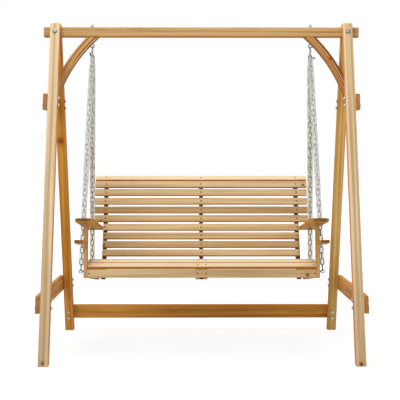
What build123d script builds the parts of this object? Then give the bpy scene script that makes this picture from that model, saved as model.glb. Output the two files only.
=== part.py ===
"""Porch swing: a slatted bench that hangs on four sleeved chains from an A-frame stand."""

import os
from math import atan2, cos, hypot, radians, sin, sqrt, tan

from build123d import *

# All sizes are in millimetres. X runs along the beam, -Y is the front and Z is up from the ground.

# Stand
stand_width = 1655.0  # over the outer faces of the legs
stand_height = 1790.0  # ground to the leg tops
foot_spread = 1120.0  # front of the front feet to the back of the back feet
leg_width = 52.0  # along X
leg_depth = 45.0  # square to the leg
leg_top = 20.0  # wood left beside the beam at the very top
beam_overhang = 39.5  # beam ends past the legs' outer faces
beam_height = 53.0
beam_depth = 45.0
beam_drop = 21.0  # leg tops over the beam's top
side_board = 25.0  # thickness of the side braces and stretchers
side_board_height = 88.0
upper_brace_drop = 437.0  # leg tops to the middle of the upper side braces
lower_stretcher_z = 301.0  # middle of the lower side stretchers
back_stretcher_height = 84.0
back_stretcher_thickness = 22.0
back_stretcher_up = 116.0  # middle, measured up the back legs
back_stretcher_inset = 3.0  # ends, inside the legs' outer faces

# Curved braces: two concentric arcs from the beam down to the upper side braces
brace_radius = 800.0  # concave edge
brace_width = 45.0
brace_top_reach = 264.3  # upper end of the concave edge, inwards of the side brace's inner face
brace_end_reach = 16.7  # lower end of the concave edge, inwards of the same face
brace_end_lift = 9.0  # cut lower end, over the side brace's lower edge

# Bolts and nuts. Shanks and their holes are six-sided and heads twelve-sided, to keep the model light
shank_sides = 6
head_sides = 12
bolt_diameter = 8.0
bolt_clearance = 0.4  # hole over bolt
bolt_head = 17.0
bolt_head_height = 5.0
beam_bolt_head = 26.0
spot_face_margin = 1.5  # flat cut in the leaning leg round a beam bolt's head
spot_face_depth = 0.6  # of that flat at its shallow edge
nut_width = 14.0  # across the flats
nut_height = 6.5
bolt_spread = 38.0  # between the two bolts of a side board

# Hangers: eye bolt, quick link and chains
hanger_spacing = 1202.0  # between the two eye bolts
eye_wire = 6.0
eye_thickness = 4.0  # of the ring, along Y
eye_radius = 10.0  # ring, to the middle of its wire
eye_drop = 48.0  # ring's middle below the beam's underside
eye_tail = 11.5  # bolt past the nut on the beam
eye_counterbore = 31.0  # round the ring in the curved brace
eye_counterbore_gap = 4.0  # room over the ring
link_wire = 6.0  # quick link
link_inner_radius = 10.5
link_steps = 8  # flats round each bow
link_straight = 28.5
hang_clearance = 1.2  # between the ring's wire and the quick link's bow
chain_wire = 5.0
chain_link_width = 21.0
chain_pitch = 31.0  # wanted; each chain takes the nearest that fits its length
chain_slack = 0.1
chain_start_spread = 11.0  # between the two first links on a quick link
chain_seat = 5.8  # first link's inner end below the middle of the quick link's lower bow
link_tip = 10.0  # flat at the end of a chain link
link_shoulder = 8.0  # length over which a chain link widens
sleeve_wall = 1.0
sleeve_play = 0.05  # between links and sleeve
sleeve_top_gap = 62.0  # chain left bare under the quick link
sleeve_low_gap = 32.0  # chain left bare over the lower eye bolt
lower_eye_wire = 5.0
lower_eye_radius = 8.5
lower_eye_standoff = 18.0  # ring's middle outside the wood
lower_eye_play = 1.2  # between the ring and the last chain link

# Bench, in its own frame: u runs back along the armrests, v stands square to them
bench_tilt = 8.0  # degrees, leaning back
bench_y = -315.0  # where u = 0 and v = 0
bench_z = 419.5
seat_length = 1206.0
slat_width = 40.0
slat_thickness = 16.0
slat_gap = 12.0
nose_gap = 6.0  # between the two front seat slats
roll_gap = 10.0  # between the two top back slats
back_overhang = 12.0  # long back slats past the seat slats' ends
nose_slopes = (34.0, 23.5)  # degrees, the two slats that roll over the front edge
seat_slopes = (0.0, -1.0, -2.0, -2.0, 2.0, 14.0)
back_slopes_low = (68.0, 71.0, 74.0, 76.0)  # short slats, below the armrests
back_slopes_high = (78.0, 79.5, 80.5, 80.0, 70.0, 41.0)  # long slats, rolled back at the top
seat_nose_u = -6.4  # front top edge of the first seat slat
seat_nose_v = 59.7
back_foot_u = 398.0  # lower front edge of the lowest back slat
back_foot_v = 135.0
apron_u = -5.0  # front face
apron_v = 1.5  # lower edge
apron_height = 44.0
support_thickness = 22.0
support_end = 455.0
support_end_height = 88.0
support_end_radius = 24.0
stile_thickness = 22.0
stile_inset = 39.5  # side stiles' outer faces inside the seat slats' ends
stile_depth = 48.0
stile_tip = 20.0  # depth left at the rolled top
post_thickness = 19.0
post_depth = 52.0
post_front_u = -8.0
arm_height = 287.0  # underside of the armrests
arm_thickness = 20.0
arm_width = 95.5
arm_front_u = -125.0
arm_back_u = 505.0
arm_corner = 22.0
arm_hole_clearance = 5.0  # round the sleeves
shelf_width = 51.0
shelf_inset = 5.0  # inner edge outside the post's inner face
shelf_thickness = 18.0
shelf_top_v = 194.0
shelf_front_u = -130.0
shelf_lap = 16.0  # length that runs back beside the post
shelf_corner = 8.0
front_eye_u = 31.0
front_eye_v = 35.0
back_eye_u = 432.0
back_eye_v = 40.0
block_length = 28.0
block_height = 70.0
block_front_u = 386.0
block_low_v = 8.0

SIDES = (("left", -1), ("right", 1))
os.makedirs("parts", exist_ok=True)


def keep(piece, name):
    """Label a finished piece and write it as a STEP file of that name."""
    piece.part.label = name
    export_step(piece.part, f"parts/{name}.step")


# Places that several pieces share
leg_outer = stand_width / 2
beam_length = stand_width + 2 * beam_overhang
upper_brace_z = stand_height - upper_brace_drop
leg_inner = leg_outer - leg_width
half_spread = foot_spread / 2
leg_top_y = beam_depth / 2 + leg_top
lean = atan2(half_spread - leg_top_y, stand_height)
leg_run = leg_depth / cos(lean)  # leg's depth measured level
beam_top = stand_height - beam_drop
beam_low = beam_top - beam_height
bolt_hole = (bolt_diameter + bolt_clearance) / 2


def leg_front(z):
    """Y of the front legs' front face at a height; the back legs' back face is its mirror."""
    return -half_spread + (half_spread - leg_top_y) * z / stand_height


def leg_middle(z):
    return leg_front(z) + leg_run / 2


def round_bar(radius, sides=shank_sides, mode=Mode.ADD, turn=0):
    """A many-sided stand-in for a circle, drawn round it."""
    return RegularPolygon(radius, sides, major_radius=False, rotation=turn, mode=mode)


def bolt(grip, head=bolt_head):
    """A round-headed bolt along Z with its head below z = 0 and its nut past the grip."""
    with BuildPart() as one:
        with BuildSketch():
            round_bar(head / 2, head_sides)
        extrude(amount=-bolt_head_height)
        with BuildSketch():
            round_bar(bolt_diameter / 2)
        extrude(amount=grip)
        with BuildSketch(Plane.XY.offset(grip)):
            round_bar(nut_width / 2, 6)
        extrude(amount=nut_height)
    return one.part


# Legs: a leaning board cut level at the foot and the top, and upright where it meets the beam
half_beam = beam_depth / 2
meet_z = stand_height * (half_spread - half_beam - leg_run) / (half_spread - leg_top_y)
side_bolt_heights = [
    z + step * bolt_spread / 2 for z in (upper_brace_z, lower_stretcher_z) for step in (-1, 1)
]
beam_bolt_z = (beam_top + beam_low) / 2
spot_face = beam_bolt_head / 2 + spot_face_margin
beam_seat_y = leg_front(beam_bolt_z) + spot_face * tan(lean) + spot_face_depth
back_face = Plane(
    origin=(0, half_spread - back_stretcher_up * sin(lean), back_stretcher_up * cos(lean)),
    x_dir=(1, 0, 0),
    z_dir=(0, cos(lean), sin(lean)),
)
back_bolts = [(x, step * bolt_spread / 2) for x in (-1, 1) for step in (-1, 1)]
for row, fore in (("front", 1), ("back", -1)):
    for side, hand in SIDES:
        with BuildPart() as leg:
            with BuildSketch(Plane.YZ.offset(hand * (leg_outer + leg_inner) / 2)):
                with BuildLine():
                    Polyline(
                        (-fore * half_spread, 0),
                        (-fore * leg_top_y, stand_height),
                        (-fore * half_beam, stand_height),
                        (-fore * half_beam, meet_z),
                        (-fore * (half_spread - leg_run), 0),
                        close=True,
                    )
                make_face()
            extrude(amount=leg_width / 2, both=True)
            with BuildSketch(Plane.YZ):
                with Locations(*[(fore * leg_middle(z), z) for z in side_bolt_heights]):
                    round_bar(bolt_hole)
            extrude(amount=hand * stand_width, mode=Mode.SUBTRACT)
            with BuildSketch(Plane.XZ):
                with Locations((hand * (leg_outer + leg_inner) / 2, beam_bolt_z)):
                    round_bar(bolt_hole)
            extrude(amount=foot_spread, both=True, mode=Mode.SUBTRACT)
            with BuildSketch(Plane.XZ.offset(-fore * beam_seat_y)):
                with Locations((hand * (leg_outer + leg_inner) / 2, beam_bolt_z)):
                    round_bar(spot_face, head_sides)
            extrude(amount=fore * leg_depth, mode=Mode.SUBTRACT)
            if row == "back":
                with BuildSketch(back_face):
                    with Locations(*[(x * (leg_outer + leg_inner) / 2, y) for x, y in back_bolts]):
                        round_bar(bolt_hole)
                extrude(amount=leg_depth * 2, both=True, mode=Mode.SUBTRACT)
        keep(leg, f"{row}_leg_{side}")

# Beam between the leg tops, drilled for the long bolts and the eye bolts
hanger_x = hanger_spacing / 2
eye_hole = (eye_wire + bolt_clearance) / 2
eye_z = beam_low - eye_drop
with BuildPart() as top_beam:
    with BuildSketch(Plane.XZ.offset(-half_beam)):
        with Locations((0, (beam_top + beam_low) / 2)):
            Rectangle(beam_length, beam_height)
        with Locations(*[(hand * (leg_outer + leg_inner) / 2, beam_bolt_z) for _, hand in SIDES]):
            round_bar(bolt_hole, mode=Mode.SUBTRACT)
    extrude(amount=beam_depth)
    with BuildSketch(Plane.XY.offset(beam_low)):
        with Locations((-hanger_x, 0), (hanger_x, 0)):
            round_bar(eye_hole)
    extrude(amount=beam_height, mode=Mode.SUBTRACT)
keep(top_beam, "top_beam")

# Side braces and stretchers: boards on the legs' outer faces, cut in line with the legs
for name, middle in (("upper_side_brace", upper_brace_z), ("lower_side_stretcher", lower_stretcher_z)):
    low = middle - side_board_height / 2
    high = middle + side_board_height / 2
    for side, hand in SIDES:
        with BuildPart() as board:
            with BuildSketch(Plane.YZ.offset(hand * (leg_outer + side_board / 2))):
                with BuildLine():
                    Polyline(
                        (leg_front(low), low),
                        (leg_front(high), high),
                        (-leg_front(high), high),
                        (-leg_front(low), low),
                        close=True,
                    )
                make_face()
                for step in (-1, 1):
                    z = middle + step * bolt_spread / 2
                    with Locations((leg_middle(z), z), (-leg_middle(z), z)):
                        round_bar(bolt_hole, mode=Mode.SUBTRACT)
            extrude(amount=side_board / 2, both=True)
        keep(board, f"{name}_{side}")

# Back stretcher, flat on the back faces of the back legs
with BuildPart() as back_stretcher:
    with BuildSketch(back_face):
        Rectangle(stand_width - 2 * back_stretcher_inset, back_stretcher_height)
        with Locations(*[(x * (leg_outer + leg_inner) / 2, y) for x, y in back_bolts]):
            round_bar(bolt_hole, mode=Mode.SUBTRACT)
    extrude(amount=back_stretcher_thickness)
keep(back_stretcher, "back_stretcher")

# Curved braces, with a flat-bottomed pocket for the ring of the eye bolt
brace_end_z = upper_brace_z - side_board_height / 2 + brace_end_lift
inner_top = (leg_outer - brace_top_reach, beam_low)
inner_end = (leg_outer - brace_end_reach, brace_end_z)
chord_x = inner_end[0] - inner_top[0]
chord_z = inner_end[1] - inner_top[1]
chord = hypot(chord_x, chord_z)
arc_away = sqrt(brace_radius**2 - chord**2 / 4)  # from the chord's middle to the arc's centre
arc_x = (inner_top[0] + inner_end[0]) / 2 + chord_z / chord * arc_away
arc_z = (inner_top[1] + inner_end[1]) / 2 - chord_x / chord * arc_away


def arc_point(radius, x=None, z=None):
    """Point of an arc about the brace's centre, at an x or at a height."""
    if z is None:
        return (x, arc_z + sqrt(radius**2 - (x - arc_x) ** 2))
    return (arc_x + sqrt(radius**2 - (z - arc_z) ** 2), z)


for side, hand in SIDES:
    outer_radius = brace_radius + brace_width
    outer_end = arc_point(outer_radius, x=leg_outer)
    outer_top = arc_point(outer_radius, z=beam_low)
    inner_mid = arc_point(brace_radius, z=(beam_low + brace_end_z) / 2)
    outer_mid = arc_point(outer_radius, z=(beam_low + outer_end[1]) / 2)
    with BuildPart() as brace:
        with BuildSketch(Plane.XZ.offset(-half_beam)):
            with BuildLine():
                ThreePointArc(inner_top, inner_mid, inner_end)
                Polyline(inner_end, (leg_outer, brace_end_z), outer_end)
                ThreePointArc(outer_end, outer_mid, outer_top)
                Line(outer_top, inner_top)
            make_face()
        extrude(amount=beam_depth)
        with BuildSketch(Plane.XY.offset(eye_z)):
            with Locations((hanger_x, 0)):
                round_bar(eye_hole)
        extrude(amount=eye_drop, mode=Mode.SUBTRACT)
        with BuildSketch(Plane.XY.offset(eye_z + eye_radius + eye_wire / 2 + eye_counterbore_gap)):
            with Locations((hanger_x, 0)):
                round_bar(eye_counterbore / 2, head_sides)
        extrude(amount=-brace_radius, mode=Mode.SUBTRACT)
        if hand < 0:
            mirror(about=Plane.YZ, mode=Mode.REPLACE)
    keep(brace, f"curved_brace_{side}")

# Bolts of the stand
beam_bolt = bolt(-2 * beam_seat_y, beam_bolt_head)
with BuildPart() as beam_bolts:
    for _, hand in SIDES:
        seat = Plane(
            origin=(hand * (leg_outer + leg_inner) / 2, beam_seat_y, beam_bolt_z),
            x_dir=(1, 0, 0),
            z_dir=(0, 1, 0),
        )
        add(seat * beam_bolt)
keep(beam_bolts, "beam_bolts")

side_bolt = bolt(side_board + leg_width)
with BuildPart() as side_bolts:
    for z in side_bolt_heights:
        for _, hand in SIDES:
            for fore in (-1, 1):
                seat = Plane(
                    origin=(hand * (leg_outer + side_board), fore * leg_middle(z), z),
                    x_dir=(0, 1, 0),
                    z_dir=(-hand, 0, 0),
                )
                add(seat * side_bolt)
keep(side_bolts, "side_bolts")

back_bolt = bolt(leg_depth + back_stretcher_thickness)
with BuildPart() as back_stretcher_bolts:
    for x, y in back_bolts:
        seat = back_face.offset(-leg_depth)
        add(seat * Pos(x * (leg_outer + leg_inner) / 2, y) * back_bolt)
keep(back_stretcher_bolts, "back_stretcher_bolts")

# Eye bolts through the beam and the curved braces, with a nut on top
for side, hand in SIDES:
    with BuildPart() as eye_bolt:
        with BuildSketch(Plane.XZ):
            with Locations((hand * hanger_x, eye_z)):
                round_bar(eye_radius + eye_wire / 2, head_sides)
                round_bar(eye_radius - eye_wire / 2, head_sides, Mode.SUBTRACT)
        extrude(amount=eye_thickness / 2, both=True)
        with BuildSketch(Plane.XY.offset(eye_z + eye_radius)):
            with Locations((hand * hanger_x, 0)):
                round_bar(eye_wire / 2)
        extrude(amount=beam_top + nut_height + eye_tail - eye_z - eye_radius)
        with BuildSketch(Plane.XY.offset(beam_top)):
            with Locations((hand * hanger_x, 0)):
                round_bar(nut_width / 2, 6)
        extrude(amount=nut_height)
    keep(eye_bolt, f"eye_bolt_{side}")

# Quick links: an oval of round wire whose upper bow lies on the ring's wire
swing_axis_z = eye_z - eye_radius
link_top_z = swing_axis_z + eye_wire / 2 + hang_clearance - link_inner_radius
link_low_z = link_top_z - link_straight


def link_outline(radius):
    """Corners of an oval with flat-sided bows about the two middles of a quick link."""
    upper = [radians(180 * i / link_steps) for i in range(link_steps + 1)]
    points = [(radius * cos(a), link_top_z + radius * sin(a)) for a in upper]
    return points + [(-radius * cos(a), link_low_z - radius * sin(a)) for a in upper]


for side, hand in SIDES:
    with BuildPart() as quick_link:
        with BuildSketch(Plane.YZ.offset(hand * hanger_x)):
            Polygon(*link_outline(link_inner_radius + link_wire), align=None)
            Polygon(*link_outline(link_inner_radius), align=None, mode=Mode.SUBTRACT)
        extrude(amount=link_wire / 2, both=True)
    keep(quick_link, f"quick_link_{side}")

# Bench frame
tilt = radians(bench_tilt)
bench_side = Plane(
    origin=(0, bench_y, bench_z), x_dir=(0, cos(tilt), -sin(tilt)), z_dir=(1, 0, 0)
)


def bench_point(x, u, v):
    return Vector(
        x, bench_y + u * cos(tilt) + v * sin(tilt), bench_z - u * sin(tilt) + v * cos(tilt)
    )


def bench_level(v):
    """Plane along X and u at a height v."""
    return Plane(origin=bench_point(0, 0, v), x_dir=(1, 0, 0), z_dir=(0, sin(tilt), cos(tilt)))


def slat_row(u, v, slopes, gaps):
    """Middle of each slat's outer face and its slope, from the first slat's near edge on."""
    row = []
    for i, slope in enumerate(slopes):
        along = Vector(cos(radians(slope)), sin(radians(slope)))
        row.append((u + along.X * slat_width / 2, v + along.Y * slat_width / 2, slope))
        turn = radians((slope + slopes[min(i + 1, len(slopes) - 1)]) / 2)
        u += along.X * slat_width + gaps[i] * cos(turn)
        v += along.Y * slat_width + gaps[i] * sin(turn)
    return row


def slat_under(place, along, depth=slat_thickness):
    """Point behind a slat's outer face, a distance along it from its middle."""
    u, v, slope = place
    c, s = cos(radians(slope)), sin(radians(slope))
    return (u + along * c + depth * s, v + along * s - depth * c)


def under_edges(row):
    """Both long edges of each slat's inner face, in order: the line on which slats sit."""
    return [slat_under(place, step * slat_width / 2) for place in row for step in (-1, 1)]


seat_all = nose_slopes + seat_slopes
seat_gaps = [nose_gap] + [slat_gap] * (len(seat_all) - 1)
seat_row = slat_row(seat_nose_u, seat_nose_v, seat_all, seat_gaps)
back_all = back_slopes_low + back_slopes_high
back_gaps = [slat_gap] * (len(back_all) - 2) + [roll_gap] * 2
back_row = slat_row(back_foot_u, back_foot_v, back_all, back_gaps)
half_seat = seat_length / 2
stile_outer = half_seat - stile_inset
stile_middle = stile_outer - stile_thickness / 2


def slat(place, length):
    u, v, slope = place
    with BuildPart() as board:
        with BuildSketch(bench_side):
            with Locations(Location((u, v), slope)):
                Rectangle(slat_width, slat_thickness, align=(Align.CENTER, Align.MAX))
        extrude(amount=length / 2, both=True)
    return board


for i, place in enumerate(seat_row):
    keep(slat(place, seat_length), f"seat_slat_{i + 1}")
for i, place in enumerate(back_row):
    short = i < len(back_slopes_low)
    length = 2 * stile_outer if short else seat_length + 2 * back_overhang
    keep(slat(place, length), f"back_slat_{i + 1}")

with BuildPart() as front_apron:
    with BuildSketch(bench_side):
        with Locations((apron_u, apron_v)):
            Rectangle(slat_thickness, apron_height, align=(Align.MIN, Align.MIN))
    extrude(amount=half_seat, both=True)
keep(front_apron, "front_apron")

# Seat supports: boards on edge whose top follows the slats and whose front carries the apron
support_front = apron_u + slat_thickness
nose_u, nose_v = under_edges(seat_row)[0]
nose_rise = (support_front - nose_u) * tan(radians(nose_slopes[0]))
support_line = [(support_front, nose_v + nose_rise)] + under_edges(seat_row)[1:]
centre_inner = stile_thickness / 2
support_places = {
    "seat_support_left": -half_seat + support_thickness / 2,
    "seat_support_centre_left": -centre_inner - support_thickness / 2,
    "seat_support_centre_right": centre_inner + support_thickness / 2,
    "seat_support_right": half_seat - support_thickness / 2,
}
eye_bolt_hole = (lower_eye_wire + bolt_clearance) / 2
corner = support_end_radius
bow = corner * (1 - sqrt(0.5))
for name, x in support_places.items():
    with BuildPart() as support:
        with BuildSketch(bench_side.offset(x)):
            with BuildLine():
                Polyline(
                    (support_end, support_end_height - corner),
                    (support_end, 0),
                    (support_front, 0),
                    *support_line,
                    (support_end - corner, support_end_height),
                )
                ThreePointArc(
                    (support_end - corner, support_end_height),
                    (support_end - bow, support_end_height - bow),
                    (support_end, support_end_height - corner),
                )
            make_face()
            if abs(x) > stile_outer:
                with Locations((front_eye_u, front_eye_v), (back_eye_u, back_eye_v)):
                    round_bar(eye_bolt_hole, mode=Mode.SUBTRACT)
        extrude(amount=support_thickness / 2, both=True)
    keep(support, name)

# Back stiles: the front edge follows the slats, the back edge is one long sweep to the rolled top
stile_line = under_edges(back_row)
foot_slope = radians(back_all[0])
foot_u = stile_line[0][0] - stile_line[0][1] / tan(foot_slope)
stile_back = [slat_under(back_row[i], 0, slat_thickness + stile_depth) for i in (3, 7)]
stile_end = slat_under(back_row[-1], slat_width / 2, slat_thickness + stile_tip)
stile_heel = (foot_u + stile_depth / sin(foot_slope), 0)
for name, x in (("left", -stile_middle), ("centre", 0), ("right", stile_middle)):
    with BuildPart() as stile:
        with BuildSketch(bench_side.offset(x)):
            with BuildLine():
                Polyline(stile_heel, (foot_u, 0), *stile_line, stile_end, stile_back[1])
                ThreePointArc(stile_back[1], stile_back[0], stile_heel)
            make_face()
        extrude(amount=stile_thickness / 2, both=True)
    keep(stile, f"back_stile_{name}")

# Packing blocks that fill the gap between the side stiles and the side seat supports
block_thickness = half_seat - support_thickness - stile_outer
with BuildPart() as packing_blocks:
    for x in (-stile_outer - block_thickness / 2, stile_outer + block_thickness / 2):
        with BuildSketch(bench_side.offset(x)):
            with Locations((block_front_u, block_low_v)):
                Rectangle(block_length, block_height, align=(Align.MIN, Align.MIN))
        extrude(amount=block_thickness / 2, both=True)
keep(packing_blocks, "packing_blocks")

# Chain lines, from the quick links down to the lower eye bolts
post_outer = half_seat + post_thickness
eye_places = {
    "front": (post_outer, front_eye_u, front_eye_v, -1),
    "rear": (half_seat, back_eye_u, back_eye_v, 1),
}


def chain_ends(row, hand):
    """Inner end of the first link and of the last link of one chain."""
    face, u, v, fore = eye_places[row]
    ring = bench_point(hand * (face + lower_eye_standoff), u, v)
    start = Vector(hand * hanger_x, fore * chain_start_spread / 2, link_low_z - chain_seat)
    up = (start - ring).normalized()
    return start, ring + up * (lower_eye_radius - lower_eye_wire / 2 - lower_eye_play)


def chain_at(row, hand, v):
    """X and u where a chain passes a height v of the bench."""
    start, end = chain_ends(row, hand)
    high = bench_side.to_local_coords(start)
    low = bench_side.to_local_coords(end)
    spot = low + (high - low) * ((v - low.Y) / (high.Y - low.Y))
    return (spot.Z, spot.X)


# Arm posts, armrests with a hole for each chain, and a small shelf in front of each post
sleeve_inner = sqrt(chain_link_width**2 + chain_wire**2) / 2 + sleeve_play
sleeve_outer = sleeve_inner + sleeve_wall
for side, hand in SIDES:
    with BuildPart() as arm_post:
        with BuildSketch(bench_side.offset(hand * (half_seat + post_thickness / 2))):
            with Locations((post_front_u, 0)):
                Rectangle(post_depth, arm_height, align=(Align.MIN, Align.MIN))
            with Locations((front_eye_u, front_eye_v)):
                round_bar(eye_bolt_hole, mode=Mode.SUBTRACT)
        extrude(amount=post_thickness / 2, both=True)
    keep(arm_post, f"arm_post_{side}")

    with BuildPart() as armrest:
        with BuildSketch(bench_level(arm_height)) as outline:
            with Locations((hand * (stile_outer + arm_width / 2), (arm_front_u + arm_back_u) / 2)):
                Rectangle(arm_width, arm_back_u - arm_front_u)
            corners = outline.vertices().group_by(Axis.Y)
            back_outer = corners[-1].sort_by(Axis.X)[-1 if hand > 0 else 0]
            fillet(corners[0] + [back_outer], arm_corner)
            for row in eye_places:
                with Locations(chain_at(row, hand, arm_height + arm_thickness / 2)):
                    round_bar(sleeve_outer + arm_hole_clearance, head_sides, Mode.SUBTRACT)
        extrude(amount=arm_thickness)
    keep(armrest, f"armrest_{side}")

    shelf_inner = half_seat + shelf_inset
    shelf_outer = shelf_inner + shelf_width
    with BuildPart() as shelf:
        with BuildSketch(bench_level(shelf_top_v - shelf_thickness)) as outline:
            with BuildLine():
                Polyline(
                    (hand * shelf_inner, shelf_front_u),
                    (hand * shelf_outer, shelf_front_u),
                    (hand * shelf_outer, post_front_u + shelf_lap),
                    (hand * post_outer, post_front_u + shelf_lap),
                    (hand * post_outer, post_front_u),
                    (hand * shelf_inner, post_front_u),
                    close=True,
                )
            make_face()
            fillet(outline.vertices().group_by(Axis.Y)[0], shelf_corner)
        extrude(amount=shelf_thickness)
    keep(shelf, f"arm_shelf_{side}")


# Chains: flat links, each turned a quarter round the chain from the one before
def chain_link(inner_length):
    half_length = inner_length / 2 + chain_wire
    half_width = chain_link_width / 2
    with BuildPart() as one:
        with BuildSketch():
            with BuildLine():
                Polyline(
                    (link_tip / 2, half_length),
                    (half_width, half_length - link_shoulder),
                    (half_width, link_shoulder - half_length),
                    (link_tip / 2, -half_length),
                    (-link_tip / 2, -half_length),
                    (-half_width, link_shoulder - half_length),
                    (-half_width, half_length - link_shoulder),
                    (-link_tip / 2, half_length),
                    close=True,
                )
            make_face()
            Rectangle(chain_link_width - 2 * chain_wire, inner_length, mode=Mode.SUBTRACT)
        extrude(amount=chain_wire / 2, both=True)
    return one.part


for row in eye_places:
    for side, hand in SIDES:
        start, end = chain_ends(row, hand)
        length = (end - start).length
        down = (end - start).normalized()
        count = 2 * round(length / chain_pitch / 2)
        pitch = (length - chain_slack) / count
        link = chain_link(pitch + chain_slack)
        across = Vector(1, 0, 0) - down * down.X
        spots = [
            Plane(
                origin=start + down * (pitch * i + (pitch + chain_slack) / 2),
                x_dir=across if i % 2 == 0 else down.cross(across),
                z_dir=down.cross(across) if i % 2 == 0 else across,
            )
            for i in range(count)
        ]
        with BuildPart() as chain:
            add([spot * link for spot in spots])
        keep(chain, f"chain_{row}_{side}")

# Clear sleeves over the chains
for row in eye_places:
    with BuildPart() as sleeves:
        for _, hand in SIDES:
            start, end = chain_ends(row, hand)
            down = (end - start).normalized()
            with BuildSketch(Plane(origin=start + down * sleeve_top_gap, z_dir=down)):
                round_bar(sleeve_outer, head_sides)
                round_bar(sleeve_inner, head_sides, Mode.SUBTRACT)
            extrude(amount=(end - start).length - sleeve_top_gap - sleeve_low_gap)
    keep(sleeves, f"chain_sleeves_{row}")


# Lower eye bolts: through the post and the seat support in front, the seat support alone behind
def lower_eye(grip):
    """An eye bolt along Z with its ring below z = 0 and a nut on each side of the grip."""
    with BuildPart() as one:
        with BuildSketch(Plane.XZ):
            with Locations((0, -lower_eye_standoff)):
                round_bar(lower_eye_radius + lower_eye_wire / 2, head_sides)
                round_bar(lower_eye_radius - lower_eye_wire / 2, head_sides, Mode.SUBTRACT)
        extrude(amount=lower_eye_wire / 2, both=True)
        with BuildSketch(Plane.XY.offset(lower_eye_radius - lower_eye_standoff)):
            round_bar(lower_eye_wire / 2, turn=90)
        extrude(amount=lower_eye_standoff - lower_eye_radius + grip + nut_height)
        for z in (-nut_height, grip):
            with BuildSketch(Plane.XY.offset(z)):
                round_bar(nut_width / 2, 6)
            extrude(amount=nut_height)
    return one.part


with BuildPart() as bench_eye_bolts:
    for face, u, v, fore in eye_places.values():
        eye = lower_eye(face - half_seat + support_thickness)
        for _, hand in SIDES:
            seat = Plane(
                origin=bench_point(hand * face, u, v),
                x_dir=(0, sin(tilt), cos(tilt)),
                z_dir=(-hand, 0, 0),
            )
            add(seat * eye)
keep(bench_eye_bolts, "bench_eye_bolts")
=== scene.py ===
# %% [markdown]
# # A porch swing in knotty softwood
# A bench of narrow slats hangs on four chains, each in a clear sleeve, under an A-frame stand. The
# measured solids come in as a frame of named nodes. This script gives every board eased edges and grain
# of its own, draws the hardware as round wire and turned heads, and lights it.

# %% Load the measured frame
from functools import partial

import bpy
import numpy as np
from mathutils import Euler, Matrix, Vector
from mathutils.geometry import tessellate_polygon


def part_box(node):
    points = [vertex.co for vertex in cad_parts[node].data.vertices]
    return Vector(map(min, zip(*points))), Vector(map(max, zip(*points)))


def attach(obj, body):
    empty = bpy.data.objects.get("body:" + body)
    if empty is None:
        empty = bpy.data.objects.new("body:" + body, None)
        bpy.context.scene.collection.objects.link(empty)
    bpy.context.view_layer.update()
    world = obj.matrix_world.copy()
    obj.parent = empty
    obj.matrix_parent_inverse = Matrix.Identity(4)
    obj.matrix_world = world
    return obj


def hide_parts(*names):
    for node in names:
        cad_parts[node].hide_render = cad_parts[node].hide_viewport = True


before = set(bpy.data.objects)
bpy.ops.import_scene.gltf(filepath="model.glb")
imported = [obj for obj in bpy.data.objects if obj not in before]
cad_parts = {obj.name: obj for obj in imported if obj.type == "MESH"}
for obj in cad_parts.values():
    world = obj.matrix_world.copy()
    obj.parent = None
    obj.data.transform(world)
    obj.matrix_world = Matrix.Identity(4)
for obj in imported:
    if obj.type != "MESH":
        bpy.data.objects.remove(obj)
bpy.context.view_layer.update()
scene = bpy.context.scene
scene.view_settings.view_transform = "Standard"
print("nodes in the frame:", len(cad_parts))

# %% [markdown]
# ## Camera
# The picture was taken from straight in front with a long lens, a little left of the middle and about
# chest high. Lens, place and angles come from a least-squares fit to the corners of legs, beam and feet.

# %% Camera
LENS = 88.416  # mm, with a sensor 36 mm wide
EYE = (-0.0453, -5.4598, 1.0404)
YAW, PITCH = np.radians(0.394), np.radians(-2.340)

camera_data = bpy.data.cameras.new("photo_camera")
camera_data.sensor_fit = "HORIZONTAL"
camera_data.lens = LENS
camera = bpy.data.objects.new("photo_camera", camera_data)
scene.collection.objects.link(camera)
aim = Euler((np.pi / 2 + PITCH, 0.0, -YAW)).to_matrix().to_4x4()
camera.matrix_world = Matrix.Translation(EYE) @ aim
scene.camera = camera
print("lens in mm:", round(camera_data.lens, 2))

# %% [markdown]
# ## Writing shader maths as Python
# Long graphs of nodes are easier to read as formulas. `Sock` wraps one output of a node and overloads the
# operators, so `1 - mask * 0.5` adds the Math nodes by itself. `Graph` holds a tree of nodes, and its
# method `node` makes any other node from a type, settings and inputs. `Finish` is that of a material.


# %% Sockets with arithmetic
class Sock:
    """One output socket of a node, with arithmetic that adds Math nodes."""

    def __init__(self, graph, socket):
        self.graph, self.socket = graph, socket

    def _math(self, operation, *values):
        return self.graph.node("Math", {"operation": operation}, dict(enumerate(values)))

    def __add__(self, other):
        return self._math("ADD", self, other)

    def __sub__(self, other):
        return self._math("SUBTRACT", self, other)

    def __rsub__(self, other):
        return self._math("SUBTRACT", other, self)

    def __mul__(self, other):
        return self._math("MULTIPLY", self, other)

    def __truediv__(self, other):
        return self._math("DIVIDE", self, other)

    def __rtruediv__(self, other):
        return self._math("DIVIDE", other, self)

    __radd__ = __add__
    __rmul__ = __mul__

    def apply(self, operation, *values):
        """A named Math operation on this value, such as SQRT, FRACT or MAXIMUM."""
        return self._math(operation, self, *values)


# %% Graphs and finishes
def linear(red, green, blue):
    """A colour as read from a picture, 0 to 255, made linear for the shader."""
    part = np.array([red, green, blue]) / 255.0
    curve = ((part + 0.055) / 1.055) ** 2.4
    return tuple(np.where(part < 0.04045, part / 12.92, curve).tolist())


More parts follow.
